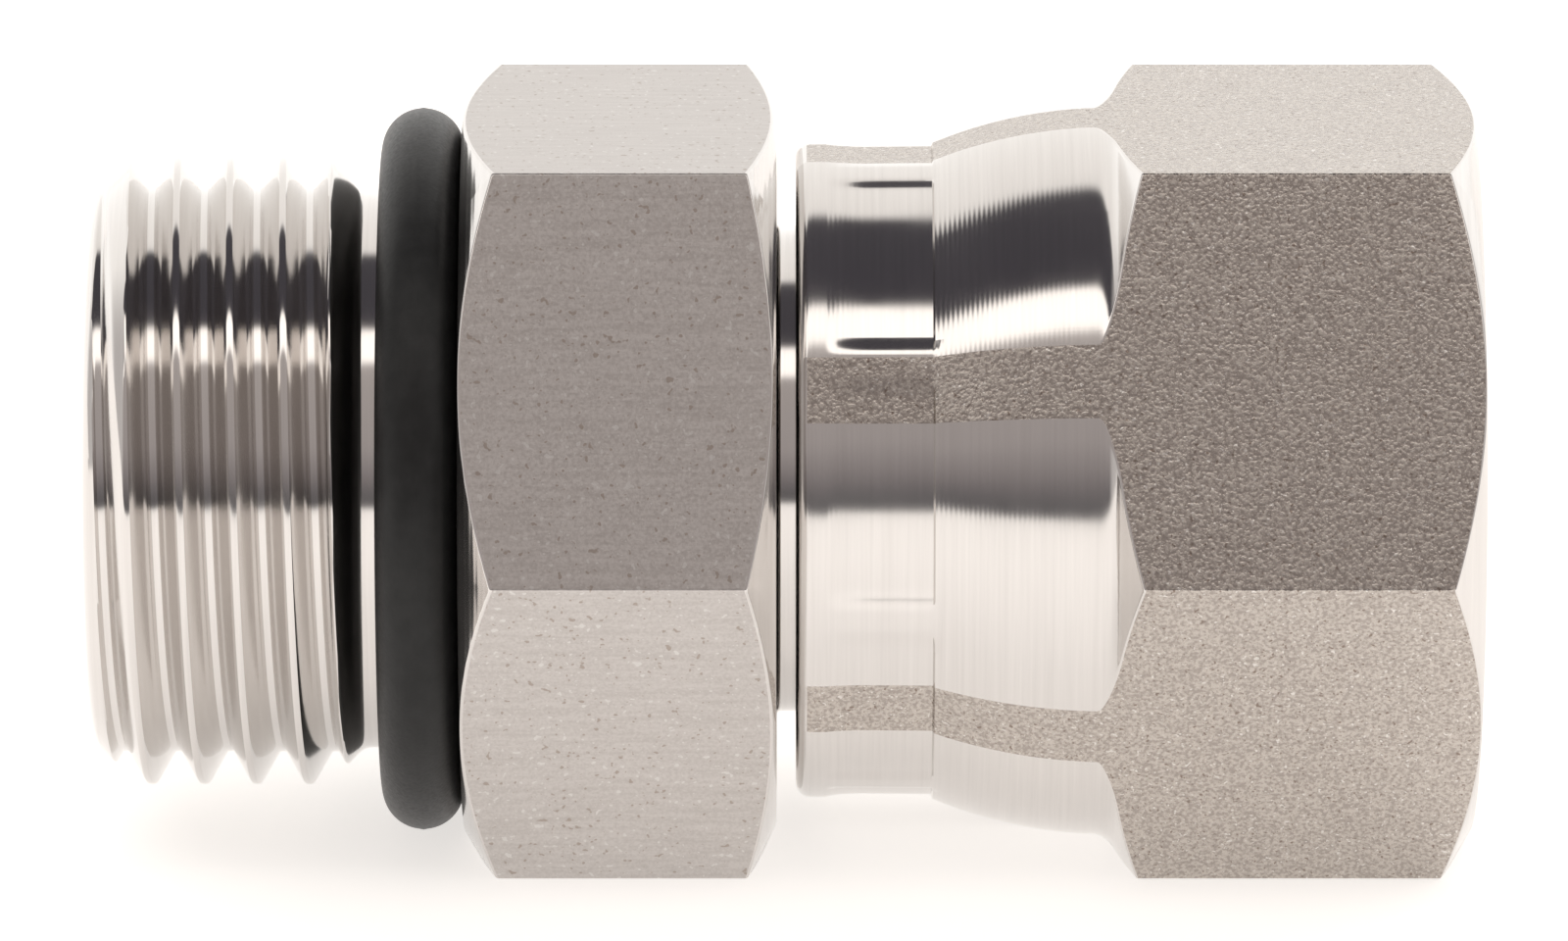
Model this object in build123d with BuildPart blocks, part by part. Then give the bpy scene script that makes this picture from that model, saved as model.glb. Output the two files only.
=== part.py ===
from build123d import *
from math import cos, radians, sin, tan
import os

# Swivel adapter fitting: an O-ring port stud at one end, a swivel nut over a 37 degree
# seat at the other. X runs along the flow axis from the stud to the nut, Z is up and the
# fitting lies on one flat of each hexagon. X = 0 is the port face of the fixed hexagon,
# the face that stops against the port. Millimetres and degrees.

# Thread size of both ends, given as the crest diameter of the stud thread
thread_size = 19.0

# Hexagon bar that both metal pieces are turned from: its wall outside the thread
hex_wall = 1.5
end_face_margin = 0.1

# Port stud: straight thread drawn as its crest cylinder, with its undercut
thread_height = 1.05
thread_flank_angle = 42.0
stud_length = 11.2
stud_lead = 1.4
stud_lead_angle = 45.0

# Seal in the undercut
seal_section = 2.45
seal_bands = 12
seal_clearance = 0.02
undercut_room = 0.58

# Fixed hexagon
hex_length = 9.45
port_face_angle = 30.0
rear_face_margin = 0.55
rear_face_angle = 24.0

# Neck and nose with the cone seat; the nose is a little slimmer than the thread of the nut
nose_clearance = 0.27
neck_length = 5.05
neck_root = 0.15
bore_diameter = 10.0
bore_chamfer = 0.4
flange_height = 1.1
flange_length = 4.5
flange_back_angle = 45.0
flange_front_chamfer = 0.35
seat_rim = 0.45
seat_half_angle = 37.0

# Swivel nut, before the crimp a plain turned skirt behind a hexagon
nut_gap = 0.57
nut_length = 20.43
nut_hex_length = 10.17
nut_face_angle = 30.0
shoulder_angle = 28.0
shoulder_ease = 0.48
strip_half_angle = 5.8

# Crimped collar and the flare that runs up to the full skirt
collar_wall = 2.3
collar_round = 0.45
collar_edge = 0.13
flare_lead = 0.4
flare_step = 0.03
flare_end_angle = 3.0
skirt_land = 0.66

# Marks that the crimping jaws leave, and the ridges between them
jaw_count = 8
jaw_lip = 0.9
jaw_start_depth = 0.01
jaw_depth = 0.12
ridge_half_angle = 3.7
first_ridge_angle = 34.5

# Inside of the nut
neck_clearance = 0.3
swivel_play = 0.42
chamber_clearance = 0.5
nut_thread_height = 0.78
nut_thread_length = 10.9
nut_mouth_margin = 0.2
collar_bore_chamfer = 0.3


# Radii and places that follow from them
port_thread_radius = thread_size / 2
nut_thread_radius = port_thread_radius - nut_thread_height
flat_radius = port_thread_radius + hex_wall
corner_radius = flat_radius / cos(radians(30))
stock_radius = corner_radius + flat_radius / 10
end_face_radius = flat_radius - end_face_margin / 2
rear_face_radius = flat_radius - rear_face_margin / 2

undercut_radius = port_thread_radius - thread_height
seal_radius = seal_section / 2
undercut_length = seal_section + seal_clearance + undercut_room
runout_length = thread_height * tan(radians(thread_flank_angle))

bore_radius = bore_diameter / 2
flange_back = hex_length + neck_length
flange_radius = nut_thread_radius - nose_clearance
neck_radius = flange_radius - flange_height
flange_back_length = flange_height / tan(radians(flange_back_angle))
nose_face = flange_back + flange_length
seat_radius = flange_radius - seat_rim
seat_depth = (seat_radius - bore_radius) / tan(radians(seat_half_angle))

nut_back = hex_length + nut_gap
nut_front = nut_back + nut_length
skirt_radius = flat_radius / cos(radians(strip_half_angle))
strip_share = flat_radius / skirt_radius
shoulder_corner = nut_front - nut_hex_length
shoulder_foot = shoulder_corner - (corner_radius - skirt_radius) * tan(radians(shoulder_angle))
shoulder_rise = shoulder_ease * cos(radians(shoulder_angle))
shoulder_rise_length = shoulder_ease * sin(radians(shoulder_angle))
shoulder_top = shoulder_foot + (stock_radius - skirt_radius) * tan(radians(shoulder_angle))

collar_bore_radius = neck_radius + neck_clearance
collar_radius = collar_bore_radius + collar_wall
flare_start = flange_back - flare_lead
flare_start_radius = collar_radius + flare_step
flare_end = shoulder_foot - skirt_land
jaw_start = nut_back + jaw_lip

chamber_radius = flange_radius + chamber_clearance
nut_mouth_chamfer = nut_thread_height + nut_mouth_margin
nut_cone_start = flange_back - swivel_play + neck_clearance
nut_cone_length = (chamber_radius - collar_bore_radius) / tan(radians(flange_back_angle))
nut_thread_start = nut_front - nut_thread_length


def chamfer_run(face_radius, angle):
    """Axial length that an end chamfer takes from its face out past the corners of the bar."""
    return (stock_radius - face_radius) * tan(radians(angle))


def axis_plane(angle):
    """Plane through the flow axis whose second direction is at this angle above -Y."""
    turn = radians(angle)
    return Plane(origin=(0, 0, 0), x_dir=(1, 0, 0), z_dir=(0, -sin(turn), -cos(turn)))


# Adapter body: stud, hexagon, neck and nose, turned from one bar and bored through
with BuildPart() as adapter_body:
    # Chamfered blank of the fixed hexagon, then the flats of the bar, one of them underneath
    with BuildSketch(Plane.XZ):
        with BuildLine():
            Polyline(
                (0, 0),
                (0, end_face_radius),
                (chamfer_run(end_face_radius, port_face_angle), stock_radius),
                (hex_length - chamfer_run(rear_face_radius, rear_face_angle), stock_radius),
                (hex_length, rear_face_radius),
                (hex_length, 0),
                close=True,
            )
        make_face()
    revolve(axis=Axis.X)
    with BuildSketch(Plane.YZ):
        RegularPolygon(radius=flat_radius, side_count=6, major_radius=False)
    extrude(amount=hex_length, mode=Mode.INTERSECT)

    # Port stud with its lead, thread cylinder and undercut
    with BuildSketch(Plane.XZ):
        with BuildLine():
            Polyline(
                (hex_length / 2, 0),
                (-stud_length, 0),
                (-stud_length, port_thread_radius - stud_lead * tan(radians(stud_lead_angle))),
                (-stud_length + stud_lead, port_thread_radius),
                (-undercut_length - runout_length, port_thread_radius),
                (-undercut_length, undercut_radius),
                (hex_length / 2, undercut_radius),
                close=True,
            )
        make_face()
    revolve(axis=Axis.X)

    # Neck and the flange that the nut pulls on
    with BuildSketch(Plane.XZ):
        with BuildLine():
            Polyline(
                (hex_length / 2, 0),
                (hex_length / 2, neck_radius + neck_root),
                (hex_length, neck_radius + neck_root),
                (hex_length + neck_root, neck_radius),
                (flange_back, neck_radius),
                (flange_back + flange_back_length, flange_radius),
                (nose_face - flange_front_chamfer, flange_radius),
                (nose_face, flange_radius - flange_front_chamfer),
                (nose_face, 0),
                close=True,
            )
        make_face()
    revolve(axis=Axis.X)

    # Flow bore, opening into the seat cone
    with BuildSketch(Plane.XZ):
        with BuildLine():
            Polyline(
                (-stud_length, 0),
                (-stud_length, bore_radius + bore_chamfer),
                (-stud_length + bore_chamfer, bore_radius),
                (nose_face - seat_depth, bore_radius),
                (nose_face, seat_radius),
                (nose_face, 0),
                close=True,
            )
        make_face()
    revolve(axis=Axis.X, mode=Mode.SUBTRACT)


# O-ring, seated in the undercut against the port face; narrow bands make up its round section
with BuildPart() as o_ring:
    with BuildSketch(Plane.XZ):
        with Locations((-seal_clearance - seal_radius, undercut_radius + seal_clearance + seal_radius)):
            RegularPolygon(
                radius=seal_radius, side_count=seal_bands, major_radius=False, rotation=180 / seal_bands
            )
    revolve(axis=Axis.X)


def crimped_outline(share):
    """Outline of the crimped skirt up to its shoulder, with every radius times a share."""
    Line((nut_back + collar_round, collar_radius * share), (flare_start, flare_start_radius * share))
    TangentArc(
        (flare_end, skirt_radius * share),
        (flare_start, flare_start_radius * share),
        tangent=(-1, -tan(radians(flare_end_angle)) * share),
    )


# Swivel nut: turned skirt and shoulder, crimped behind the flange
with BuildPart() as swivel_nut:
    with BuildSketch(Plane.XZ):
        with BuildLine():
            crimped_outline(1.0)
            Polyline(
                (flare_end, skirt_radius),
                (shoulder_foot - shoulder_ease, skirt_radius),
                (shoulder_foot + shoulder_rise_length, skirt_radius + shoulder_rise),
                (shoulder_top, stock_radius),
                (nut_front - chamfer_run(end_face_radius, nut_face_angle), stock_radius),
                (nut_front, end_face_radius),
                (nut_front, 0),
                (nut_back, 0),
                (nut_back, collar_radius - collar_round),
                (nut_back + collar_edge, collar_radius - collar_edge),
                (nut_back + collar_round, collar_radius),
            )
        make_face()
    revolve(axis=Axis.X)

    # Flats of the bar, which bend inwards with the skirt where it is crimped
    for flat_angle in (30, 90, 150):
        with BuildSketch(axis_plane(flat_angle)):
            with BuildLine():
                crimped_outline(strip_share)
                Polyline(
                    (flare_end, flat_radius),
                    (nut_front, flat_radius),
                    (nut_front, 0),
                    (nut_back, 0),
                    (nut_back, collar_radius * strip_share),
                    (nut_back + collar_round, collar_radius * strip_share),
                )
            make_face()
            mirror(about=Plane.XZ)
        extrude(amount=stock_radius, both=True, mode=Mode.INTERSECT)

    # Shallow marks of the crimping jaws, with a ridge standing between each two
    jaw_step = 360 / jaw_count
    for jaw in range(jaw_count):
        with BuildSketch(axis_plane(first_ridge_angle + ridge_half_angle + jaw * jaw_step)):
            with BuildLine():
                ThreePointArc(
                    (jaw_start, collar_radius - jaw_start_depth),
                    ((jaw_start + flare_start) / 2, collar_radius - jaw_depth),
                    (flare_start, flare_start_radius - jaw_depth),
                )
                Polyline(
                    (flare_start, flare_start_radius - jaw_depth),
                    (flare_start, stock_radius),
                    (jaw_start, stock_radius),
                    (jaw_start, collar_radius - jaw_start_depth),
                )
            make_face()
        revolve(axis=Axis.X, revolution_arc=-(jaw_step - 2 * ridge_half_angle), mode=Mode.SUBTRACT)

    # Collar bore, cone shoulder, chamber, nut thread at its crest diameter and mouth
    with BuildSketch(Plane.XZ):
        with BuildLine():
            Polyline(
                (nut_back, 0),
                (nut_back, collar_bore_radius + collar_bore_chamfer),
                (nut_back + collar_bore_chamfer, collar_bore_radius),
                (nut_cone_start, collar_bore_radius),
                (nut_cone_start + nut_cone_length, chamber_radius),
                (nut_thread_start, chamber_radius),
                (nut_thread_start, nut_thread_radius),
                (nut_front - nut_mouth_chamfer, nut_thread_radius),
                (nut_front, nut_thread_radius + nut_mouth_chamfer),
                (nut_front, 0),
                close=True,
            )
        make_face()
    revolve(axis=Axis.X, mode=Mode.SUBTRACT)


os.makedirs("parts", exist_ok=True)

adapter_body.part.label = "adapter_body"
export_step(adapter_body.part, "parts/adapter_body.step")
o_ring.part.label = "o_ring"
export_step(o_ring.part, "parts/o_ring.step")
swivel_nut.part.label = "swivel_nut"
export_step(swivel_nut.part, "parts/swivel_nut.step")
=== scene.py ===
import bisect
import bmesh
import bpy
from math import atan, atan2, cos, degrees, hypot, pi, radians, sin, sqrt, tan
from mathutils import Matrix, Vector


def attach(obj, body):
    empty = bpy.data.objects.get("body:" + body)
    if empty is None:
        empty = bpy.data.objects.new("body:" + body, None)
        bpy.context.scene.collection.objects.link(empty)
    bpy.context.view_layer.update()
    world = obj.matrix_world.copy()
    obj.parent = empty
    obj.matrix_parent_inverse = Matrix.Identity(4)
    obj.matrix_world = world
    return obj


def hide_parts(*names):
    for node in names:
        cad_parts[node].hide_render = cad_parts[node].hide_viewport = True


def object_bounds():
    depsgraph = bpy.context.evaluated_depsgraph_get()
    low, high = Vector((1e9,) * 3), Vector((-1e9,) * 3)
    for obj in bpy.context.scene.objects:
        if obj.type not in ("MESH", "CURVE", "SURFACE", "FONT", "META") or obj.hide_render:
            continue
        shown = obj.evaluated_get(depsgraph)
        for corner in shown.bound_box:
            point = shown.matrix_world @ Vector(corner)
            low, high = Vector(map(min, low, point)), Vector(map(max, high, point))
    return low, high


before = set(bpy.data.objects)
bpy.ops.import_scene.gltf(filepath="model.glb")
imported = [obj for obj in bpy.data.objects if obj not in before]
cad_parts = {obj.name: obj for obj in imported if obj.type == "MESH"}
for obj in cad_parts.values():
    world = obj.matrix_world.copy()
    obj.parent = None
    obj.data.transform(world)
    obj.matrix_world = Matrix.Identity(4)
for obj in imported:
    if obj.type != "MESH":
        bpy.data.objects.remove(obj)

cad_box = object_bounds()
MM = 0.001

# Camera: the fitting lies on its flats and is seen square on its length, from a little above.
VIEW_HEIGHT_ANGLE = 16.5
VIEW_DISTANCE = 415 * MM
VIEW_CENTRE_X = 9.67 * MM
VIEW_DROP = 0.06 * MM
FRAME_WIDTH = 47.53 * MM

lens = bpy.data.cameras.new("Camera")
lens.sensor_width = 36.0
lens.lens = lens.sensor_width * VIEW_DISTANCE / FRAME_WIDTH
lens.clip_start = 0.01
lens.clip_end = 20.0
camera = bpy.data.objects.new("Camera", lens)
tilt = radians(VIEW_HEIGHT_ANGLE)
camera.location = (
    VIEW_CENTRE_X,
    -VIEW_DISTANCE * cos(tilt) - VIEW_DROP * sin(tilt),
    VIEW_DISTANCE * sin(tilt) - VIEW_DROP * cos(tilt),
)
camera.rotation_euler = (radians(90) - tilt, 0, 0)
bpy.context.scene.collection.objects.link(camera)
bpy.context.scene.camera = camera

# Floor and light: a plain pale bench under the fitting. The studio round it is what the
# bright metal mirrors: a grey room in front, one strip lamp, a dark ceiling and a white screen
# at the back.
FLOOR_HALF = 3.0
floor_mesh = bpy.data.meshes.new("Floor")
floor_level = cad_box[0][2]
floor_mesh.from_pydata(
    [(x * FLOOR_HALF, y * FLOOR_HALF, floor_level) for x, y in ((-1, -1), (1, -1), (1, 1), (-1, 1))],
    [], [(0, 1, 2, 3)],
)
floor = bpy.data.objects.new("Floor", floor_mesh)
bpy.context.scene.collection.objects.link(floor)
floor_paint = bpy.data.materials.new("Pale bench")
floor_paint.use_nodes = True
floor_shader = floor_paint.node_tree.nodes["Principled BSDF"]
floor_shader.inputs["Base Color"].default_value = (0.50, 0.485, 0.47, 1)
floor_shader.inputs["Emission Color"].default_value = (1.0, 0.965, 0.93, 1)
floor_shader.inputs["Emission Strength"].default_value = 0.72
floor_shader.inputs["Roughness"].default_value = 0.9
floor_shader.inputs["Specular IOR Level"].default_value = 0.1
floor_mesh.materials.append(floor_paint)

studio = bpy.data.worlds.new("Studio")
studio.use_nodes = True
bpy.context.scene.world = studio
tree = studio.node_tree
tree.nodes.clear()


def node_in(tree, kind, **values):
    """Add a node; names ending in a number set that input, other names set a property."""
    made = tree.nodes.new(kind)
    for key, value in values.items():
        if key[2:].isdigit():
            made.inputs[int(key[2:])].default_value = value
        else:
            setattr(made, key, value)
    return made


def maths(tree, kind, *values):
    """Add a Math node whose inputs are numbers or sockets, and give its result."""
    made = node_in(tree, "ShaderNodeMath", operation=kind)
    for place, value in enumerate(values):
        if isinstance(value, (int, float)):
            made.inputs[place].default_value = value
        else:
            tree.links.new(value, made.inputs[place])
    return made.outputs[0]


direction = node_in(tree, "ShaderNodeTexCoord").outputs["Generated"]
split = node_in(tree, "ShaderNodeSeparateXYZ")
tree.links.new(direction, split.inputs[0])
height_angle = maths(tree, "ARCTAN2", split.outputs[2], maths(tree, "MULTIPLY", split.outputs[1], -1.0))
height_share = maths(tree, "DIVIDE", maths(tree, "ADD", height_angle, pi), 2 * pi)
bands = node_in(tree, "ShaderNodeValToRGB")
# (degrees from the camera's side over the top, red, green, blue)
STUDIO_BANDS = (
    (-180, 0.95, 0.92, 0.88),
    (-0.5, 0.95, 0.92, 0.88),
    (0.8, 0.10, 0.095, 0.10),
    (5, 0.15, 0.14, 0.145),
    (14, 0.30, 0.27, 0.27),
    (25, 0.44, 0.40, 0.39),
    (59, 0.50, 0.455, 0.435),
    (62, 1.75, 1.66, 1.58),
    (74.5, 1.75, 1.66, 1.58),
    (76.5, 0.065, 0.06, 0.07),
    (114, 0.08, 0.075, 0.085),
    (118, 1.12, 1.08, 1.04),
    (150, 1.25, 1.22, 1.18),
    (180, 1.40, 1.38, 1.35),
)
FULL_TURN = 360
stops = bands.color_ramp.elements
while len(stops) < len(STUDIO_BANDS):
    stops.new(0.5)
for stop, (angle, red, green, blue) in zip(stops, STUDIO_BANDS):
    stop.position = (angle + FULL_TURN / 2) / FULL_TURN
    stop.color = (red, green, blue, 1)
tree.links.new(height_share, bands.inputs[0])
side_share = maths(tree, "ABSOLUTE", split.outputs[0])
SIDE_WALL_FROM = 0.74
SIDE_WALL_FULL = 0.93
side_walls = node_in(tree, "ShaderNodeMapRange", interpolation_type="SMOOTHSTEP",
                     in1=SIDE_WALL_FROM, in2=SIDE_WALL_FULL)
tree.links.new(side_share, side_walls.inputs[0])
wall_mix = node_in(tree, "ShaderNodeMix", data_type="RGBA")
tree.links.new(side_walls.outputs[0], wall_mix.inputs[0])
tree.links.new(bands.outputs[0], wall_mix.inputs[6])
wall_mix.inputs[7].default_value = (0.66, 0.63, 0.615, 1)
mirrored = node_in(tree, "ShaderNodeBackground")
tree.links.new(wall_mix.outputs[2], mirrored.inputs[0])
seen = node_in(tree, "ShaderNodeBackground", in0=(1, 1, 1, 1), in1=1.0)
rays = node_in(tree, "ShaderNodeLightPath")
either = node_in(tree, "ShaderNodeMixShader")
tree.links.new(rays.outputs["Is Camera Ray"], either.inputs[0])
tree.links.new(mirrored.outputs[0], either.inputs[1])
tree.links.new(seen.outputs[0], either.inputs[2])
world_out = node_in(tree, "ShaderNodeOutputWorld")
tree.links.new(either.outputs[0], world_out.inputs[0])

soft_lamp = bpy.data.lights.new("Overhead", "SUN")
soft_lamp.energy = 1.9
soft_lamp.angle = radians(110)
overhead = bpy.data.objects.new("Overhead", soft_lamp)
overhead.rotation_euler = (radians(-12), radians(6), 0)
overhead.visible_glossy = False
bpy.context.scene.collection.objects.link(overhead)
bpy.context.scene.view_settings.view_transform = "Standard"

# Adapter body: the fixed half of the fitting, turned from one bar of stainless hexagon. It
# has the port stud with its thread, the hexagon, the neck, and inside the nut the nose with
# its cone seat, and is bored right through.
TURN_STEPS = 240
FLAT_RADIUS = 11.0
CORNER_ROUND = 0.12
EDGE_REACH = 0.07
SHARP_EDGE_ANGLE = 34

PITCH = 1.5875
THREAD_HALF_ANGLE = 30
LEAD_ROUND = 0.05
WELD = 0.002
STUD_CREST = 9.56
STUD_CREST_HALF = 0.1
STUD_CREST_ROUND = 0.1
STUD_ROOT = 8.57
STUD_END = -11.2
STUD_THREAD_START = -11.0
STUD_THREAD_START_RADIUS = 8.5
STUD_THREAD_END = -2.7
STUD_RUNOUT_FOOT = -3.05
STUD_RUNOUT_SLOPE = 1.1
STUD_RUNOUT_FILLET = 0.36
STUD_RUNOUT_ROUND = 0.3
UNDERCUT_RADIUS = 8.45
UNDERCUT_END = -0.02
UNDERCUT_ROUND = 0.05
STUD_CREST_AT = -12.953
STUD_THREAD_TURNS = 7
STUD_LEAD_SLOPE = 0.97
STUD_FACE_RADIUS = 7.6
# (back from the end face, radius) down the broken end edge of the stud
STUD_END_EDGE = ((0, 7.95), (0.03, 8.12), (0.1, 8.32))

HEX_LENGTH = 9.45
PORT_FACE_RADIUS = 10.95
REAR_FACE_RADIUS = 10.725
PORT_FACE_ANGLE = 30.0
REAR_FACE_ANGLE = 24.0

NECK_RADIUS = 7.35
FLANGE_BACK = 14.5
FLANGE_RADIUS = 8.45
NOSE_FACE = 19.0
SEAT_RADIUS = 8.0
BORE_RADIUS = 5.0
SEAT_ANGLE = 37.0
FLANGE_HEIGHT = 1.1
NOSE_ROUND = 0.15
BORE_CHAMFER = 0.4
FACE_RING = 0.3


def thread_tree():
    """Geometry Nodes that sweep one thread profile along its helix and trim it at both ends."""
    tree = bpy.data.node_groups.new("Thread", "GeometryNodeTree")
    face = tree.interface
    sizes = (
        ("Crest", 0.0095), ("Root", 0.0085), ("Pitch", 0.0016), ("Crest Half Width", 0.0001),
        ("Crest At", 0.0), ("Start", 0.0), ("Start Reach", 0.008), ("Start Slope", 1.0),
        ("End", 0.008), ("End Reach", 0.008), ("End Slope", 1.0), ("End Foot", 0.0079),
        ("End Fillet", 0.0001), ("End Rounding", 0.0001), ("Rounding", 0.00008),
    )
    face.new_socket("Geometry", in_out="INPUT", socket_type="NodeSocketGeometry")
    for name, value in sizes:
        socket = face.new_socket(name, in_out="INPUT", socket_type="NodeSocketFloat")
        socket.default_value = value
    for name, value in (("Turns", 7), ("Steps", TURN_STEPS), ("Rows", 33)):
        socket = face.new_socket(name, in_out="INPUT", socket_type="NodeSocketInt")
        socket.default_value = value
    face.new_socket("Metal", in_out="INPUT", socket_type="NodeSocketMaterial")
    face.new_socket("Geometry", in_out="OUTPUT", socket_type="NodeSocketGeometry")
    given = tree.nodes.new("NodeGroupInput").outputs

    def does(kind, *values):
        return maths(tree, kind, *values)

    strip = tree.nodes.new("GeometryNodeMeshGrid")
    strip.inputs["Size X"].default_value = 1.0
    strip.inputs["Size Y"].default_value = 1.0
    along_count = does("ADD", does("MULTIPLY", given["Turns"], given["Steps"]), 1.0)
    tree.links.new(along_count, strip.inputs["Vertices X"])
    tree.links.new(given["Rows"], strip.inputs["Vertices Y"])
    place = tree.nodes.new("ShaderNodeSeparateXYZ")
    tree.links.new(tree.nodes.new("GeometryNodeInputPosition").outputs[0], place.inputs[0])
    turned = does("MULTIPLY", does("ADD", place.outputs[0], 0.5), given["Turns"])
    across = place.outputs[1]

    raw_x = does("ADD", given["Crest At"], does("MULTIPLY", given["Pitch"], does("ADD", turned, across)))
    x = does("MINIMUM", does("MAXIMUM", raw_x, given["Start"]), given["End"])
    off_crest = does("SUBTRACT", does("MULTIPLY", does("ABSOLUTE", across), given["Pitch"]),
                     given["Crest Half Width"])
    fall = does("MULTIPLY", off_crest, 1 / tan(radians(THREAD_HALF_ANGLE)))
    flank = does("SUBTRACT", given["Crest"], fall)
    topped = does("SMOOTH_MIN", flank, given["Crest"], given["Rounding"])
    profile = does("SMOOTH_MAX", topped, given["Root"], given["Rounding"])
    from_start = does("MULTIPLY", does("SUBTRACT", x, given["Start"]), given["Start Slope"])
    from_end = does("MULTIPLY", does("SUBTRACT", given["End Foot"], x), given["End Slope"])
    run_out = does("SMOOTH_MAX", does("ADD", given["End Reach"], from_end), given["End Reach"],
                   given["End Fillet"])
    led_in = does("SMOOTH_MIN", profile, does("ADD", given["Start Reach"], from_start), LEAD_ROUND * MM)
    reach = does("SMOOTH_MIN", led_in, run_out, given["End Rounding"])
    radius = does("ABSOLUTE", does("MAXIMUM", reach, given["End Reach"]))

    angle = does("MULTIPLY", turned, -2 * pi)
    towards_camera = does("MULTIPLY", radius, does("COSINE", angle))
    spot = tree.nodes.new("ShaderNodeCombineXYZ")
    tree.links.new(x, spot.inputs[0])
    tree.links.new(does("MULTIPLY", towards_camera, -1.0), spot.inputs[1])
    tree.links.new(does("MULTIPLY", radius, does("SINE", angle)), spot.inputs[2])
    moved = tree.nodes.new("GeometryNodeSetPosition")
    tree.links.new(strip.outputs["Mesh"], moved.inputs["Geometry"])
    tree.links.new(spot.outputs[0], moved.inputs["Position"])
    welded = tree.nodes.new("GeometryNodeMergeByDistance")
    welded.inputs["Distance"].default_value = WELD * MM
    tree.links.new(moved.outputs[0], welded.inputs[0])
    real = tree.nodes.new("GeometryNodeRealizeInstances")
    tree.links.new(welded.outputs[0], real.inputs[0])
    finish = tree.nodes.new("GeometryNodeSetMaterial")
    tree.links.new(real.outputs[0], finish.inputs["Geometry"])
    tree.links.new(given["Metal"], finish.inputs["Material"])
    tree.links.new(finish.outputs[0], tree.nodes.new("NodeGroupOutput").inputs[0])
    return tree


thread_shape = thread_tree()


def cut_thread(name, metal, **sizes):
    """Plain mesh of one thread. Sizes are in millimetres; an inside thread has negative radii."""
    blank = bpy.data.objects.new(name, bpy.data.meshes.new(name))
    bpy.context.scene.collection.objects.link(blank)
    sweep = blank.modifiers.new("Thread", "NODES")
    sweep.node_group = thread_shape
    for item in thread_shape.interface.items_tree:
        if item.in_out != "INPUT" or item.name == "Geometry":
            continue
        key = item.name.lower().replace(" ", "_")
        if key == "metal":
            sweep[item.identifier] = metal
        elif key in sizes:
            plain = item.socket_type == "NodeSocketInt" or "slope" in key
            sweep[item.identifier] = sizes[key] if plain else sizes[key] * MM
    graph = bpy.context.evaluated_depsgraph_get()
    mesh = bpy.data.meshes.new_from_object(blank.evaluated_get(graph))
    bpy.data.objects.remove(blank)
    return mesh


def corner_offset(angle):
    """Degrees from the nearest corner of the hexagons; the corners are at 0, 60, 120 and so on."""
    return (angle + 30) % 60 - 30


def flat_offset(angle):
    """Degrees from the middle of the nearest flat of the hexagons."""
    return abs(30 - abs(corner_offset(angle)))


def hex_radius(angle):
    """Distance from the axis to the hexagon bar, whose corners are slightly rounded."""
    off = radians(abs(corner_offset(angle)))
    centre = (FLAT_RADIUS - CORNER_ROUND) / cos(radians(30))
    tangent = radians(30) - atan((FLAT_RADIUS - CORNER_ROUND) * tan(radians(30)) / FLAT_RADIUS)
    if off < tangent:
        return centre * cos(off) + sqrt(CORNER_ROUND ** 2 - (centre * sin(off)) ** 2)
    return FLAT_RADIUS / cos(radians(30) - off)


def eased(outline, reach, steps=3):
    """Outline with a small round at each inner corner, always with the same number of points."""
    made = [outline[0]]
    for before, here, after in zip(outline, outline[1:], outline[2:]):
        ends = []
        for other in (before, after):
            length = hypot(other[0] - here[0], other[1] - here[1])
            share = min(reach / max(length, 1e-9), 0.4)
            ends.append((here[0] + (other[0] - here[0]) * share, here[1] + (other[1] - here[1]) * share))
        for step in range(steps + 1):
            t = step / steps
            shares = ((1 - t) ** 2, 2 * t * (1 - t), t ** 2)
            made.append(tuple(shares[0] * ends[0][k] + shares[1] * here[k] + shares[2] * ends[1][k]
                              for k in (0, 1)))
    made.append(outline[-1])
    return made


def point_at(x, radius, angle):
    """Point at this place on the axis, radius and angle above -Y."""
    turn = radians(angle)
    return Vector((x, -radius * cos(turn), radius * sin(turn))) * MM


def skin(bm, angles, outlines, marks=None, finish=None):
    """Faces between neighbouring outlines all round the axis; gives the first and last ring."""
    columns = [[bm.verts.new(point_at(x, r, a)) for x, r in line] for a, line in zip(angles, outlines)]
    for here in range(len(columns)):
        there = (here + 1) % len(columns)
        for row in range(len(columns[here]) - 1):
            face = bm.faces.new((columns[here][row], columns[here][row + 1],
                                 columns[there][row + 1], columns[there][row]))
            if finish:
                for mark, value in zip(marks, finish(here, row)):
                    face[mark] = float(value)
    return [column[0] for column in columns], [column[-1] for column in columns]


def ring_angle(vert):
    """Angle of a vertex round the axis, above -Y."""
    return degrees(atan2(vert.co.z, -vert.co.y)) % 360


def close_ring(bm, inner, outer):
    """Flat ring of triangles between two circles or outlines that lie in one plane."""
    inner = sorted(inner, key=ring_angle)
    outer = sorted(outer, key=ring_angle)
    marks = [[ring_angle(v) for v in loop] for loop in (inner, outer)]
    i = j = 0
    while i < len(inner) or j < len(outer):
        next_i = marks[0][i + 1] if i + 1 < len(inner) else 360 + marks[0][0]
        next_j = marks[1][j + 1] if j + 1 < len(outer) else 360 + marks[1][0]
        if i < len(inner) and (j >= len(outer) or next_i <= next_j):
            bm.faces.new((inner[i % len(inner)], inner[(i + 1) % len(inner)], outer[j % len(outer)]))
            i += 1
        else:
            bm.faces.new((inner[i % len(inner)], outer[(j + 1) % len(outer)], outer[j % len(outer)]))
            j += 1


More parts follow.
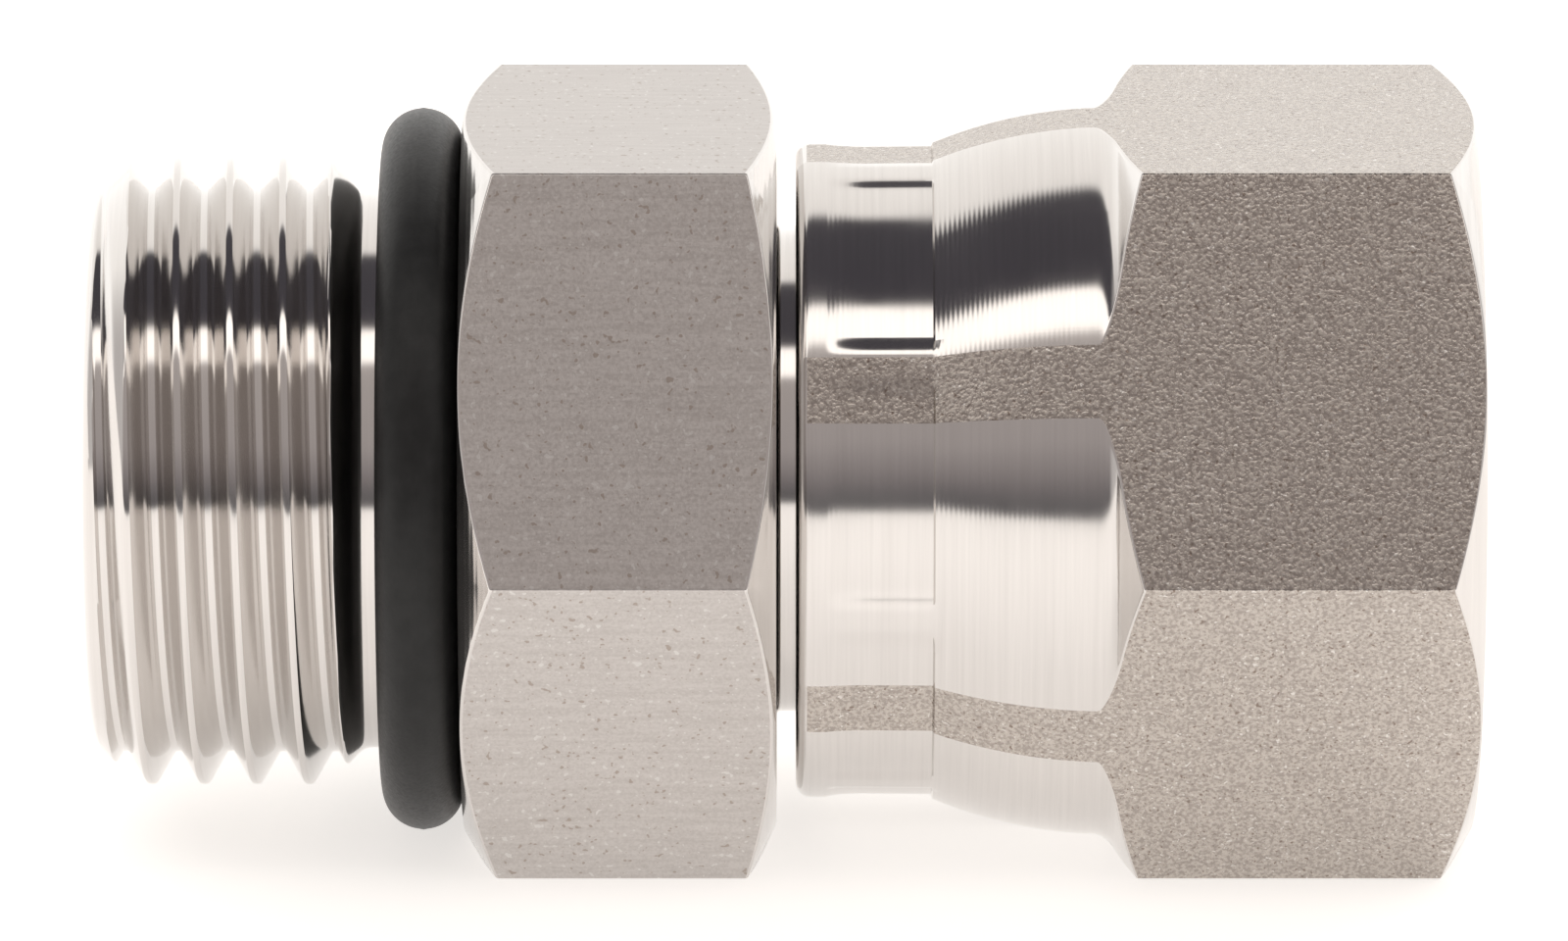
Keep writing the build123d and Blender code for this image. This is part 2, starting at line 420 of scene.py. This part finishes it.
def finish_metal(name, bm, thread, metal, node, body):
    """Weld the thread to the turned surfaces, smooth everything and hand the piece over."""
    bm.from_mesh(thread)
    bmesh.ops.remove_doubles(bm, verts=bm.verts, dist=WELD * MM)
    bmesh.ops.dissolve_degenerate(bm, edges=bm.edges, dist=1e-7)
    bmesh.ops.recalc_face_normals(bm, faces=bm.faces)
    for face in bm.faces:
        face.smooth = True
        face.material_index = 0
    raw = bpy.data.meshes.new(name)
    bm.to_mesh(raw)
    bm.free()
    raw.materials.append(metal)
    raw.set_sharp_from_angle(angle=radians(SHARP_EDGE_ANGLE))
    blank = bpy.data.objects.new(name + ".blank", raw)
    bpy.context.scene.collection.objects.link(blank)
    even = blank.modifiers.new("Even shading", "WEIGHTED_NORMAL")
    even.keep_sharp = True
    even.mode = "FACE_AREA"
    graph = bpy.context.evaluated_depsgraph_get()
    mesh = bpy.data.meshes.new_from_object(blank.evaluated_get(graph))
    bpy.data.objects.remove(blank)
    mesh.name = name
    piece = bpy.data.objects.new(name, mesh)
    bpy.context.scene.collection.objects.link(piece)
    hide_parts(node)
    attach(piece, body)


def link(tree, source, target):
    """Join two sockets."""
    tree.links.new(source, target)


RING_PITCH = 0.145
# length of one band of a wave texture whose scale is 1
WAVE_LENGTH = 0.314
TURNED_RELIEF = 0.003


def steel(name, grain_size, grain_depth, drawn, speck_size, speck_share, bar_roughness, bar_colours_and_painted_glint):
    """Stainless steel: turned surfaces with fine tool rings, and the grainy skin of the bar.

    The bar's colours are those of its dark grain, light grain and pits, and last the colour of
    painted glints: bright specks that stand in for sparkles of light. Drawn is the share that its
    lengthwise lines have in the relief.
    """
    paint = bpy.data.materials.new(name)
    paint.use_nodes = True
    tree = paint.node_tree
    shader = tree.nodes["Principled BSDF"]
    shader.inputs["Metallic"].default_value = 1.0
    place = node_in(tree, "ShaderNodeTexCoord").outputs["Object"]
    bar = node_in(tree, "ShaderNodeAttribute", attribute_name="bar_skin").outputs["Fac"]
    ringed = node_in(tree, "ShaderNodeAttribute", attribute_name="tool_rings").outputs["Fac"]

    def scaled(x, y, z):
        to_scale = node_in(tree, "ShaderNodeMapping")
        to_scale.inputs["Scale"].default_value = (x * 1000, y * 1000, z * 1000)
        link(tree, place, to_scale.inputs[0])
        return to_scale.outputs[0]

    def cloud(where, scale, detail=3.0, rough=0.5):
        made = node_in(tree, "ShaderNodeTexNoise", noise_dimensions="3D")
        made.inputs["Scale"].default_value = scale
        made.inputs["Detail"].default_value = detail
        made.inputs["Roughness"].default_value = rough
        link(tree, where, made.inputs["Vector"])
        return made.outputs[0]

    def spread(value, low, high, to_low, to_high):
        made = node_in(tree, "ShaderNodeMapRange", in1=low, in2=high, in3=to_low, in4=to_high)
        link(tree, value, made.inputs[0])
        return made.outputs[0]

    def blend(share, first, second, kind="FLOAT"):
        made = node_in(tree, "ShaderNodeMix", data_type=kind)
        ports = {"FLOAT": (2, 3, 0), "RGBA": (6, 7, 2)}[kind]
        for value, port in ((share, 0), (first, ports[0]), (second, ports[1])):
            if isinstance(value, (int, float, tuple)):
                made.inputs[port].default_value = value
            else:
                link(tree, value, made.inputs[port])
        return made.outputs[ports[2]]

    even = scaled(1, 1, 1)
    rings = node_in(tree, "ShaderNodeTexWave", wave_type="BANDS", bands_direction="X")
    rings.inputs["Scale"].default_value = WAVE_LENGTH / RING_PITCH
    rings.inputs["Distortion"].default_value = 0.15
    rings.inputs["Detail"].default_value = 1.0
    link(tree, even, rings.inputs["Vector"])
    streaks = cloud(scaled(7, 0.12, 0.12), 1.0, 4.0, 0.6)
    patches = cloud(even, 0.35, 3.0)
    ring_share = maths(tree, "MULTIPLY", spread(patches, 0.40, 0.62, 0.35, 0.9), ringed)
    ring_height = maths(tree, "MULTIPLY", rings.outputs["Fac"], ring_share)
    streak_share = spread(ringed, 0.0, 1.0, 0.04, 0.10)
    turned_height = maths(tree, "ADD", ring_height, maths(tree, "MULTIPLY", streaks, streak_share))

    grain = cloud(even, 1 / grain_size, 2.5, 0.5)
    drawn_lines = cloud(scaled(0.35, 5, 5), 1.0, 4.0, 0.6)
    bar_height = maths(tree, "ADD", maths(tree, "MULTIPLY", grain, 1 - drawn),
                       maths(tree, "MULTIPLY", drawn_lines, drawn))

    turned_bump = node_in(tree, "ShaderNodeBump", in0=1.0)
    turned_bump.inputs["Distance"].default_value = TURNED_RELIEF * MM
    link(tree, turned_height, turned_bump.inputs["Height"])
    bar_bump = node_in(tree, "ShaderNodeBump", in0=1.0)
    bar_bump.inputs["Distance"].default_value = grain_depth * MM
    link(tree, bar_height, bar_bump.inputs["Height"])
    facing = node_in(tree, "ShaderNodeMix", data_type="VECTOR")
    link(tree, bar, facing.inputs[0])
    link(tree, turned_bump.outputs[0], facing.inputs[4])
    link(tree, bar_bump.outputs[0], facing.inputs[5])
    link(tree, facing.outputs[1], shader.inputs["Normal"])

    turned_colour = blend(spread(streaks, 0.3, 0.7, 0, 1), (0.655, 0.63, 0.61, 1),
                          (0.70, 0.675, 0.655, 1), "RGBA")
    specks = cloud(even, 1 / speck_size, 1.0, 0.4)
    dark, light, pit, painted_glint = bar_colours_and_painted_glint
    grainy = blend(spread(bar_height, 0.40, 0.60, 0, 1), dark, light, "RGBA")
    pitted = blend(spread(specks, speck_share, speck_share + 0.05, 0, 1), grainy, pit, "RGBA")
    # painted glints: bright specks of the last bar colour stand in for sparkles of light off the grain
    painted_glints = spread(specks, 1 - speck_share, 0.95 - speck_share, 0, 1)
    bar_colour_with_painted_glints = blend(painted_glints, pitted, painted_glint, "RGBA")
    link(tree, blend(bar, turned_colour, bar_colour_with_painted_glints, "RGBA"), shader.inputs["Base Color"])
    turned_rough = spread(patches, 0.3, 0.7, 0.09, 0.15)
    bar_rough = spread(grain, 0.3, 0.7, bar_roughness - 0.08, bar_roughness + 0.08)
    link(tree, blend(bar, turned_rough, bar_rough), shader.inputs["Roughness"])
    return paint


body_steel = steel(
    "Turned steel", grain_size=0.10, grain_depth=0.006, drawn=0.4, speck_size=0.20,
    speck_share=0.67, bar_roughness=0.38,
    # dark grain, light grain, pits, then the painted glint: bright specks standing in for sparkles of
    # light
    bar_colours_and_painted_glint=((0.50, 0.47, 0.45, 1), (0.585, 0.555, 0.535, 1), (0.40, 0.35, 0.315, 1),
                 (0.64, 0.62, 0.60, 1)),
)
uniform = [360 * step / TURN_STEPS for step in range(TURN_STEPS)]
# columns lie close together on the rounded corners
CORNER_COLUMNS = (0, 0.065, 0.13, 0.2, 0.27)
HEX_STEP = 0.75
hex_angles = set()
for corner in range(0, 360, 60):
    for off in CORNER_COLUMNS:
        hex_angles |= {(corner - off) % 360, (corner + off) % 360}
    hex_angles |= {corner + HEX_STEP * step for step in range(1, int(60 / HEX_STEP))}
hex_angles = sorted(hex_angles)

body = bmesh.new()
body_marks = [body.faces.layers.float.new(word) for word in ("bar_skin", "tool_rings")]


def body_hex_outline(angle):
    """Outline of the fixed hexagon at one angle, chamfered at both faces."""
    radius = hex_radius(angle)
    near = (radius - PORT_FACE_RADIUS) * tan(radians(PORT_FACE_ANGLE))
    far = HEX_LENGTH - (radius - REAR_FACE_RADIUS) * tan(radians(REAR_FACE_ANGLE))
    corners = [(0, PORT_FACE_RADIUS - FACE_RING), (0, PORT_FACE_RADIUS), (near, radius), (far, radius),
               (HEX_LENGTH, REAR_FACE_RADIUS), (HEX_LENGTH, REAR_FACE_RADIUS - FACE_RING)]
    return eased(corners, EDGE_REACH)


# the row between the two eased chamfer corners is the flat of the bar
BODY_FLAT_ROW = 8
hex_port, hex_rear = skin(body, hex_angles, [body_hex_outline(a) for a in hex_angles],
                          body_marks, lambda column, row: (row == BODY_FLAT_ROW, row != BODY_FLAT_ROW))
seat_depth = (SEAT_RADIUS - BORE_RADIUS) / tan(radians(SEAT_ANGLE))
front_line = eased([
    (HEX_LENGTH, NECK_RADIUS + 2 * FACE_RING),
    (HEX_LENGTH, NECK_RADIUS),
    (FLANGE_BACK, NECK_RADIUS),
    (FLANGE_BACK + FLANGE_HEIGHT, FLANGE_RADIUS),
    (NOSE_FACE, FLANGE_RADIUS),
    (NOSE_FACE, SEAT_RADIUS),
    (NOSE_FACE - seat_depth, BORE_RADIUS),
    (STUD_END, BORE_RADIUS),
    (STUD_END, BORE_RADIUS + BORE_CHAMFER),
    (STUD_END, STUD_FACE_RADIUS),
], NOSE_ROUND)
front_line += [(STUD_END + back, radius) for back, radius in STUD_END_EDGE]
front_line.append((STUD_THREAD_START, STUD_THREAD_START_RADIUS))
neck_root, _ = skin(body, uniform, [front_line] * TURN_STEPS)
undercut = eased([
    (STUD_THREAD_END, UNDERCUT_RADIUS),
    (UNDERCUT_END, UNDERCUT_RADIUS),
    (0, UNDERCUT_RADIUS + FACE_RING),
], UNDERCUT_ROUND)
_, port_root = skin(body, uniform, [undercut] * TURN_STEPS)
close_ring(body, port_root, hex_port)
close_ring(body, neck_root, hex_rear)
stud_thread = cut_thread(
    "Stud thread", body_steel, crest=STUD_CREST, root=STUD_ROOT, pitch=PITCH,
    crest_half_width=STUD_CREST_HALF, rounding=STUD_CREST_ROUND, crest_at=STUD_CREST_AT,
    start=STUD_THREAD_START, start_reach=STUD_THREAD_START_RADIUS, start_slope=STUD_LEAD_SLOPE,
    end=STUD_THREAD_END, end_reach=UNDERCUT_RADIUS, end_slope=STUD_RUNOUT_SLOPE,
    end_foot=STUD_RUNOUT_FOOT, end_fillet=STUD_RUNOUT_FILLET, end_rounding=STUD_RUNOUT_ROUND,
    turns=STUD_THREAD_TURNS, steps=TURN_STEPS, rows=33,
)
finish_metal("Adapter_Body", body, stud_thread, body_steel, "adapter_body", "fitting")

# Seal ring: a moulded O-ring of black rubber, stretched into the undercut against the port
# face. The mould leaves a fine line round its middle.
SEAL_RADIUS = 1.225
SEAL_X = -1.245
SEAL_CENTRE = 9.695
SEAL_STEPS = 64
MOULD_LINE = 0.018
RUBBER_RELIEF = 0.006

ring = bmesh.new()
section = []
for step in range(SEAL_STEPS):
    turn = 2 * pi * step / SEAL_STEPS
    reach = SEAL_RADIUS + (MOULD_LINE if step == SEAL_STEPS // 4 else 0)
    section.append((SEAL_X + reach * cos(turn), SEAL_CENTRE + reach * sin(turn)))
skin(ring, uniform, [section + section[:1]] * TURN_STEPS)
bmesh.ops.remove_doubles(ring, verts=ring.verts, dist=1e-7)
bmesh.ops.recalc_face_normals(ring, faces=ring.faces)
for face in ring.faces:
    face.smooth = True
seal_mesh = bpy.data.meshes.new("Seal_Ring")
ring.to_mesh(seal_mesh)
ring.free()

rubber = bpy.data.materials.new("Seal rubber")
rubber.use_nodes = True
tree = rubber.node_tree
shader = tree.nodes["Principled BSDF"]
place = node_in(tree, "ShaderNodeTexCoord").outputs["Object"]
to_mm = node_in(tree, "ShaderNodeMapping")
to_mm.inputs["Scale"].default_value = (1000, 1000, 1000)
link(tree, place, to_mm.inputs[0])
matt = node_in(tree, "ShaderNodeTexNoise")
matt.inputs["Scale"].default_value = 9.0
matt.inputs["Detail"].default_value = 4.0
link(tree, to_mm.outputs[0], matt.inputs["Vector"])
dust = node_in(tree, "ShaderNodeTexNoise")
dust.inputs["Scale"].default_value = 1.6
dust.inputs["Detail"].default_value = 5.0
link(tree, to_mm.outputs[0], dust.inputs["Vector"])
tone = node_in(tree, "ShaderNodeMapRange", in1=0.35, in2=0.75, in3=0.006, in4=0.012)
link(tree, dust.outputs[0], tone.inputs[0])
tint = node_in(tree, "ShaderNodeCombineColor")
for port in (0, 1, 2):
    link(tree, tone.outputs[0], tint.inputs[port])
link(tree, tint.outputs[0], shader.inputs["Base Color"])
shader.inputs["Specular IOR Level"].default_value = 0.32
gloss = node_in(tree, "ShaderNodeMapRange", in1=0.3, in2=0.7, in3=0.36, in4=0.48)
link(tree, matt.outputs[0], gloss.inputs[0])
link(tree, gloss.outputs[0], shader.inputs["Roughness"])
skin_bump = node_in(tree, "ShaderNodeBump", in0=0.6)
skin_bump.inputs["Distance"].default_value = RUBBER_RELIEF * MM
link(tree, matt.outputs[0], skin_bump.inputs["Height"])
link(tree, skin_bump.outputs[0], shader.inputs["Normal"])
seal_mesh.materials.append(rubber)
seal = bpy.data.objects.new("Seal_Ring", seal_mesh)
bpy.context.scene.collection.objects.link(seal)
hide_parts("o_ring")
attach(seal, "fitting")

# Swivel nut: a stainless nut from the same bar. Its skirt was turned, slipped over the nose
# and crimped behind it by eight jaws, and still shows strips of the bar's six flats.
NUT_BACK = 10.02
NUT_FRONT = 30.45
COLLAR_RADIUS = 9.95
COLLAR_ROUND = 0.45
COLLAR_STEPS = 6
JAW_START = 10.92
JAW_END = 14.1
JAW_DEPTH = 0.12
FIRST_RIDGE = 34.5
RIDGE_HALF = 3.7
RIDGE_SLOPE = 4.0
JAW_STEP = 45
JAW_RISE = 0.12
# each mark: depth share at its lower and its upper side, then the share of that depth which its
# collar end has at once, again at its lower and its upper side
JAW_BITES = (
    (0.85, 0.9, 0.5, 0.0), (0.6, 0.9, 0.1, 0.3), (1.0, 0.9, 0.4, 0.2), (0.9, 1.0, 0.6, 0.1),
    (1.0, 0.85, 0.3, 0.5), (0.9, 1.0, 0.2, 0.6), (0.8, 0.5, 0.3, 0.1), (1.1, 0.45, 0.6, 0.0),
)
FLARE_START_RADIUS = 9.98
FLARE_END = 18.75
FLARE_END_ANGLE = 3.0
FLARE_STEPS = 16
FLARE_EASE = 0.06
STRIP_HALF = 5.8
STRIP_FROM = NUT_BACK + 0.05
SKIRT_RADIUS = FLAT_RADIUS / cos(radians(STRIP_HALF))
SHOULDER_FOOT = 19.41
SHOULDER_ANGLE = 28.0
SHOULDER_FILLET = 0.8
SHOULDER_REACH = 13.2
FILLET_STEPS = 10
SHOULDER_STEPS = 12
SHOULDER_EDGE_ROUND = 0.05
# the flat's first row past the shoulder's corner, and the next one
FLAT_ROWS = (0.35, 1.2)
CHAMFER_LAND = 1.0
NUT_FACE_RADIUS = 10.95
NUT_FACE_ANGLE = 30.0
COLLAR_BORE = 7.65
COLLAR_BORE_CHAMFER = 0.3
COLLAR_FACE_RING = 0.8
INSIDE_ROUND = 0.08
NUT_CONE_START = 14.38
CHAMBER_RADIUS = 8.95
NUT_CONE_LENGTH = 1.3
NUT_THREAD_START = 19.55
NUT_THREAD_ROOT = 9.56
NUT_THREAD_CREST = 8.72
NUT_THREAD_RELIEF = 9.64
NUT_CREST_HALF = 0.2
NUT_CREST_ROUND = 0.08
NUT_CREST_AT = 17.9
NUT_THREAD_TURNS = 9
NUT_MOUTH_RADIUS = 9.7
NUT_MOUTH_ROUND = 0.05

# turned outline before the flats cut it: collar, jaw marks, flare, skirt, fillet, shoulder
collar_rows = []
for step in range(COLLAR_STEPS + 1):
    turn = radians(90 * step / COLLAR_STEPS)
    collar_rows.append((NUT_BACK + COLLAR_ROUND * (1 - cos(turn)),
                        COLLAR_RADIUS - COLLAR_ROUND * (1 - sin(turn))))
collar_rows += [(JAW_START - 0.22, COLLAR_RADIUS), (JAW_START - 0.06, COLLAR_RADIUS)]
# percent of the length of a jaw mark, closer together where it sinks in
JAW_ROW_PLACES = (0, 3, 6, 9, 12, 18, 26, 35, 45, 55, 65, 75, 85, 93, 100)
jaw_rows = [JAW_START + (JAW_END - JAW_START) * place / 100 for place in JAW_ROW_PLACES]


def flare_radius(x):
    """Turned radius along the flare: an arc that leaves the full skirt almost straight."""
    chord = (FLARE_END - JAW_END, SKIRT_RADIUS - FLARE_START_RADIUS)
    length = hypot(*chord)
    chord_angle = atan(chord[1] / chord[0])
    bend = chord_angle - radians(FLARE_END_ANGLE)
    arc_radius = length / 2 / sin(bend)
    centre = (FLARE_END + arc_radius * sin(radians(FLARE_END_ANGLE)),
              SKIRT_RADIUS - arc_radius * cos(radians(FLARE_END_ANGLE)))
    return centre[1] + sqrt(arc_radius ** 2 - (x - centre[0]) ** 2)


flare_from = JAW_END + FLARE_EASE
flare_rows = [flare_from + (FLARE_END - flare_from) * step / FLARE_STEPS for step in range(FLARE_STEPS)]
fillet_reach = SHOULDER_FILLET * tan(radians((90 - SHOULDER_ANGLE) / 2))
shoulder_rows = [(FLARE_END, SKIRT_RADIUS)]
for step in range(FILLET_STEPS + 1):
    turn = radians((90 - SHOULDER_ANGLE) * step / FILLET_STEPS)
    shoulder_rows.append((SHOULDER_FOOT - fillet_reach + SHOULDER_FILLET * sin(turn),
                          SKIRT_RADIUS + SHOULDER_FILLET * (1 - cos(turn))))
fillet_end_radius = shoulder_rows[-1][1]
for step in range(1, 6):
    rise = fillet_end_radius + (SHOULDER_REACH - fillet_end_radius) * step / 5
    shoulder_rows.append((SHOULDER_FOOT + (rise - SKIRT_RADIUS) * tan(radians(SHOULDER_ANGLE)), rise))


def shoulder_outline(angle):
    """Rows from the flare's end up the fillet and shoulder to where the flat cuts them."""
    limit = hex_radius(angle)
    kept = [shoulder_rows[0]]
    for before, after in zip(shoulder_rows, shoulder_rows[1:]):
        if after[1] >= limit:
            share = (limit - before[1]) / max(after[1] - before[1], 1e-9)
            kept.append((before[0] + (after[0] - before[0]) * max(share, 0.0), limit))
            break
        kept.append(after)
    if flat_offset(angle) <= STRIP_HALF + 1e-6:
        kept = [(FLARE_END, limit), (SHOULDER_FOOT - fillet_reach, limit)]
    lengths = [0.0]
    for before, after in zip(kept, kept[1:]):
        lengths.append(lengths[-1] + hypot(after[0] - before[0], after[1] - before[1]))
    rows = []
    for step in range(SHOULDER_STEPS + 1):
        goal = lengths[-1] * step / SHOULDER_STEPS
        index = min(max(bisect.bisect_right(lengths, goal) - 1, 0), len(kept) - 2)
        span = max(lengths[index + 1] - lengths[index], 1e-9)
        t = (goal - lengths[index]) / span
        rows.append(tuple(kept[index][k] + (kept[index + 1][k] - kept[index][k]) * t for k in (0, 1)))
    return rows


def jaw_sag(x, angle):
    """Depth of the jaw marks: none on the ridges, with a steeper side where a jaw bit harder."""
    off = (angle - FIRST_RIDGE + JAW_STEP / 2) % JAW_STEP - JAW_STEP / 2
    side = min(max((abs(off) - RIDGE_HALF + RIDGE_SLOPE / 2) / RIDGE_SLOPE, 0.0), 1.0)
    side = side * side * (3 - 2 * side)
    along = (x - JAW_START) / (JAW_END - JAW_START)
    bite = JAW_BITES[int(((angle - FIRST_RIDGE) % 360) // JAW_STEP)]
    across = ((angle - FIRST_RIDGE) % JAW_STEP) / JAW_STEP
    start = bite[2] + (bite[3] - bite[2]) * across
    start *= min(along / JAW_RISE, 1.0)
    sag = JAW_DEPTH * (start + (1 - start) * min(1.0, 4 * along * (1 - along) + along ** 2))
    return sag * side * (bite[0] + (bite[1] - bite[0]) * across)


def strip_share(angle):
    """Share of the turned radius that the bent flats of the bar leave at this angle."""
    off = flat_offset(angle)
    if off >= STRIP_HALF:
        return 1.0
    return cos(radians(STRIP_HALF)) / cos(radians(off))


def nut_outline(angle):
    """Outside of the nut at one angle, from its collar end to its front face."""
    flat = strip_share(angle)
    rows = [(x, r * (flat if x > STRIP_FROM else 1.0)) for x, r in collar_rows]
    for x in jaw_rows:
        along = (x - JAW_START) / (JAW_END - JAW_START)
        turned = COLLAR_RADIUS + (FLARE_START_RADIUS - COLLAR_RADIUS) * along
        rows.append((x, turned * flat - jaw_sag(x, angle)))
    rows += [(x, flare_radius(x) * flat) for x in flare_rows]
    up = shoulder_outline(angle)
    limit = hex_radius(angle)
    chamfer = NUT_FRONT - (limit - NUT_FACE_RADIUS) * tan(radians(NUT_FACE_ANGLE))
    foot = up[-1][0]
    rows += up[:-1]
    slope = (up[-2], up[-1], (foot + 0.5, limit))
    rows += eased(slope, SHOULDER_EDGE_ROUND)[1:-1]
    rows += [(foot + past, limit) for past in FLAT_ROWS]
    tail = eased([(chamfer - CHAMFER_LAND, limit), (chamfer, limit), (NUT_FRONT, NUT_FACE_RADIUS),
                  (NUT_FRONT, NUT_FACE_RADIUS - FACE_RING)], EDGE_REACH)
    return rows + tail


# degrees from a corner: close together on the corner and where the shoulder meets the strip
NUT_COLUMNS = (*CORNER_COLUMNS, 1, 2, 3, 4.2, 5.4, 6.6, 7.8, 9, 10.2, 11.4, 12.6, 13.8, 15, 16.2,
               17.4, 18.6, 19.5, 20.4, 21.2, 21.9, 22.5, 23.0, 23.4, 23.7, 23.9, 24.05, 24.13, 24.2,
               25, 26, 27, 28, 29, 30)
nut_angles = set()
for corner in range(0, 360, 60):
    for off in NUT_COLUMNS:
        nut_angles.add(round((corner + off) % 360, 4))
        nut_angles.add(round((corner - off) % 360, 4))
for ridge in range(len(JAW_BITES)):
    for step in range(9):
        for sign in (-1, 1):
            off = sign * (RIDGE_HALF + RIDGE_SLOPE * (step / 8 - 0.5))
            nut_angles.add(round((FIRST_RIDGE + JAW_STEP * ridge + off) % 360, 4))
nut_angles = sorted(nut_angles)

nut_steel = steel(
    "Nut steel", grain_size=0.115, grain_depth=0.032, drawn=0.05, speck_size=0.13,
    speck_share=0.68, bar_roughness=0.25,
    # dark grain, light grain, pits, then the painted glint: bright specks standing in for sparkles of
    # light
    bar_colours_and_painted_glint=((0.38, 0.34, 0.312, 1), (0.55, 0.505, 0.462, 1), (0.26, 0.21, 0.18, 1),
                 (0.70, 0.67, 0.635, 1)),
)
nut = bmesh.new()
nut_marks = [nut.faces.layers.float.new(word) for word in ("bar_skin", "tool_rings")]
outlines = [nut_outline(a) for a in nut_angles]
# rows of the nut outline: the strips begin past the collar's end round, then come the
# shoulder and the flat of the hexagon
STRIP_FROM_ROW = 5
FLAT_ROW_COUNT = 5
shoulder_from = len(collar_rows) + len(jaw_rows) + FLARE_STEPS
flat_from = shoulder_from + SHOULDER_STEPS + 3


def nut_finish(column, row):
    """Bar skin on the flats and on the strips that run into the collar, tool rings elsewhere."""
    first = nut_angles[column]
    second = nut_angles[(column + 1) % len(nut_angles)]
    if second < first:
        second += 360
    middle = (first + second) / 2
    on_strip = flat_offset(middle) < STRIP_HALF
    if row >= flat_from:
        is_bar = row < flat_from + FLAT_ROW_COUNT
    else:
        is_bar = on_strip and row >= STRIP_FROM_ROW
    return is_bar, not is_bar and row < shoulder_from


nut_back_ring, nut_front_ring = skin(nut, nut_angles, outlines, nut_marks, nut_finish)
inside_front = [(NUT_FRONT, NUT_MOUTH_RADIUS + FACE_RING), (NUT_FRONT, NUT_MOUTH_RADIUS)]
front_outer, _ = skin(nut, uniform, [inside_front] * TURN_STEPS)
close_ring(nut, front_outer, nut_front_ring)
inside_back = eased([
    (NUT_THREAD_START, NUT_THREAD_RELIEF),
    (NUT_THREAD_START, CHAMBER_RADIUS),
    (NUT_CONE_START + NUT_CONE_LENGTH, CHAMBER_RADIUS),
    (NUT_CONE_START, COLLAR_BORE),
    (NUT_BACK + COLLAR_BORE_CHAMFER, COLLAR_BORE),
    (NUT_BACK, COLLAR_BORE + COLLAR_BORE_CHAMFER),
    (NUT_BACK, COLLAR_BORE + COLLAR_FACE_RING),
], INSIDE_ROUND)
_, back_inner = skin(nut, uniform, [inside_back] * TURN_STEPS)
close_ring(nut, back_inner, nut_back_ring)
nut_thread = cut_thread(
    "Nut thread", nut_steel, crest=-NUT_THREAD_CREST, root=-NUT_THREAD_ROOT, pitch=PITCH,
    crest_half_width=NUT_CREST_HALF, rounding=NUT_CREST_ROUND, crest_at=NUT_CREST_AT,
    start=NUT_THREAD_START, start_reach=-NUT_THREAD_RELIEF, start_slope=1.0,
    end=NUT_FRONT, end_reach=-NUT_MOUTH_RADIUS, end_slope=1.0, end_foot=NUT_FRONT,
    end_fillet=0.00001, end_rounding=NUT_MOUTH_ROUND,
    turns=NUT_THREAD_TURNS, steps=TURN_STEPS, rows=25,
)
finish_metal("Swivel_Nut", nut, nut_thread, nut_steel, "swivel_nut", "nut")
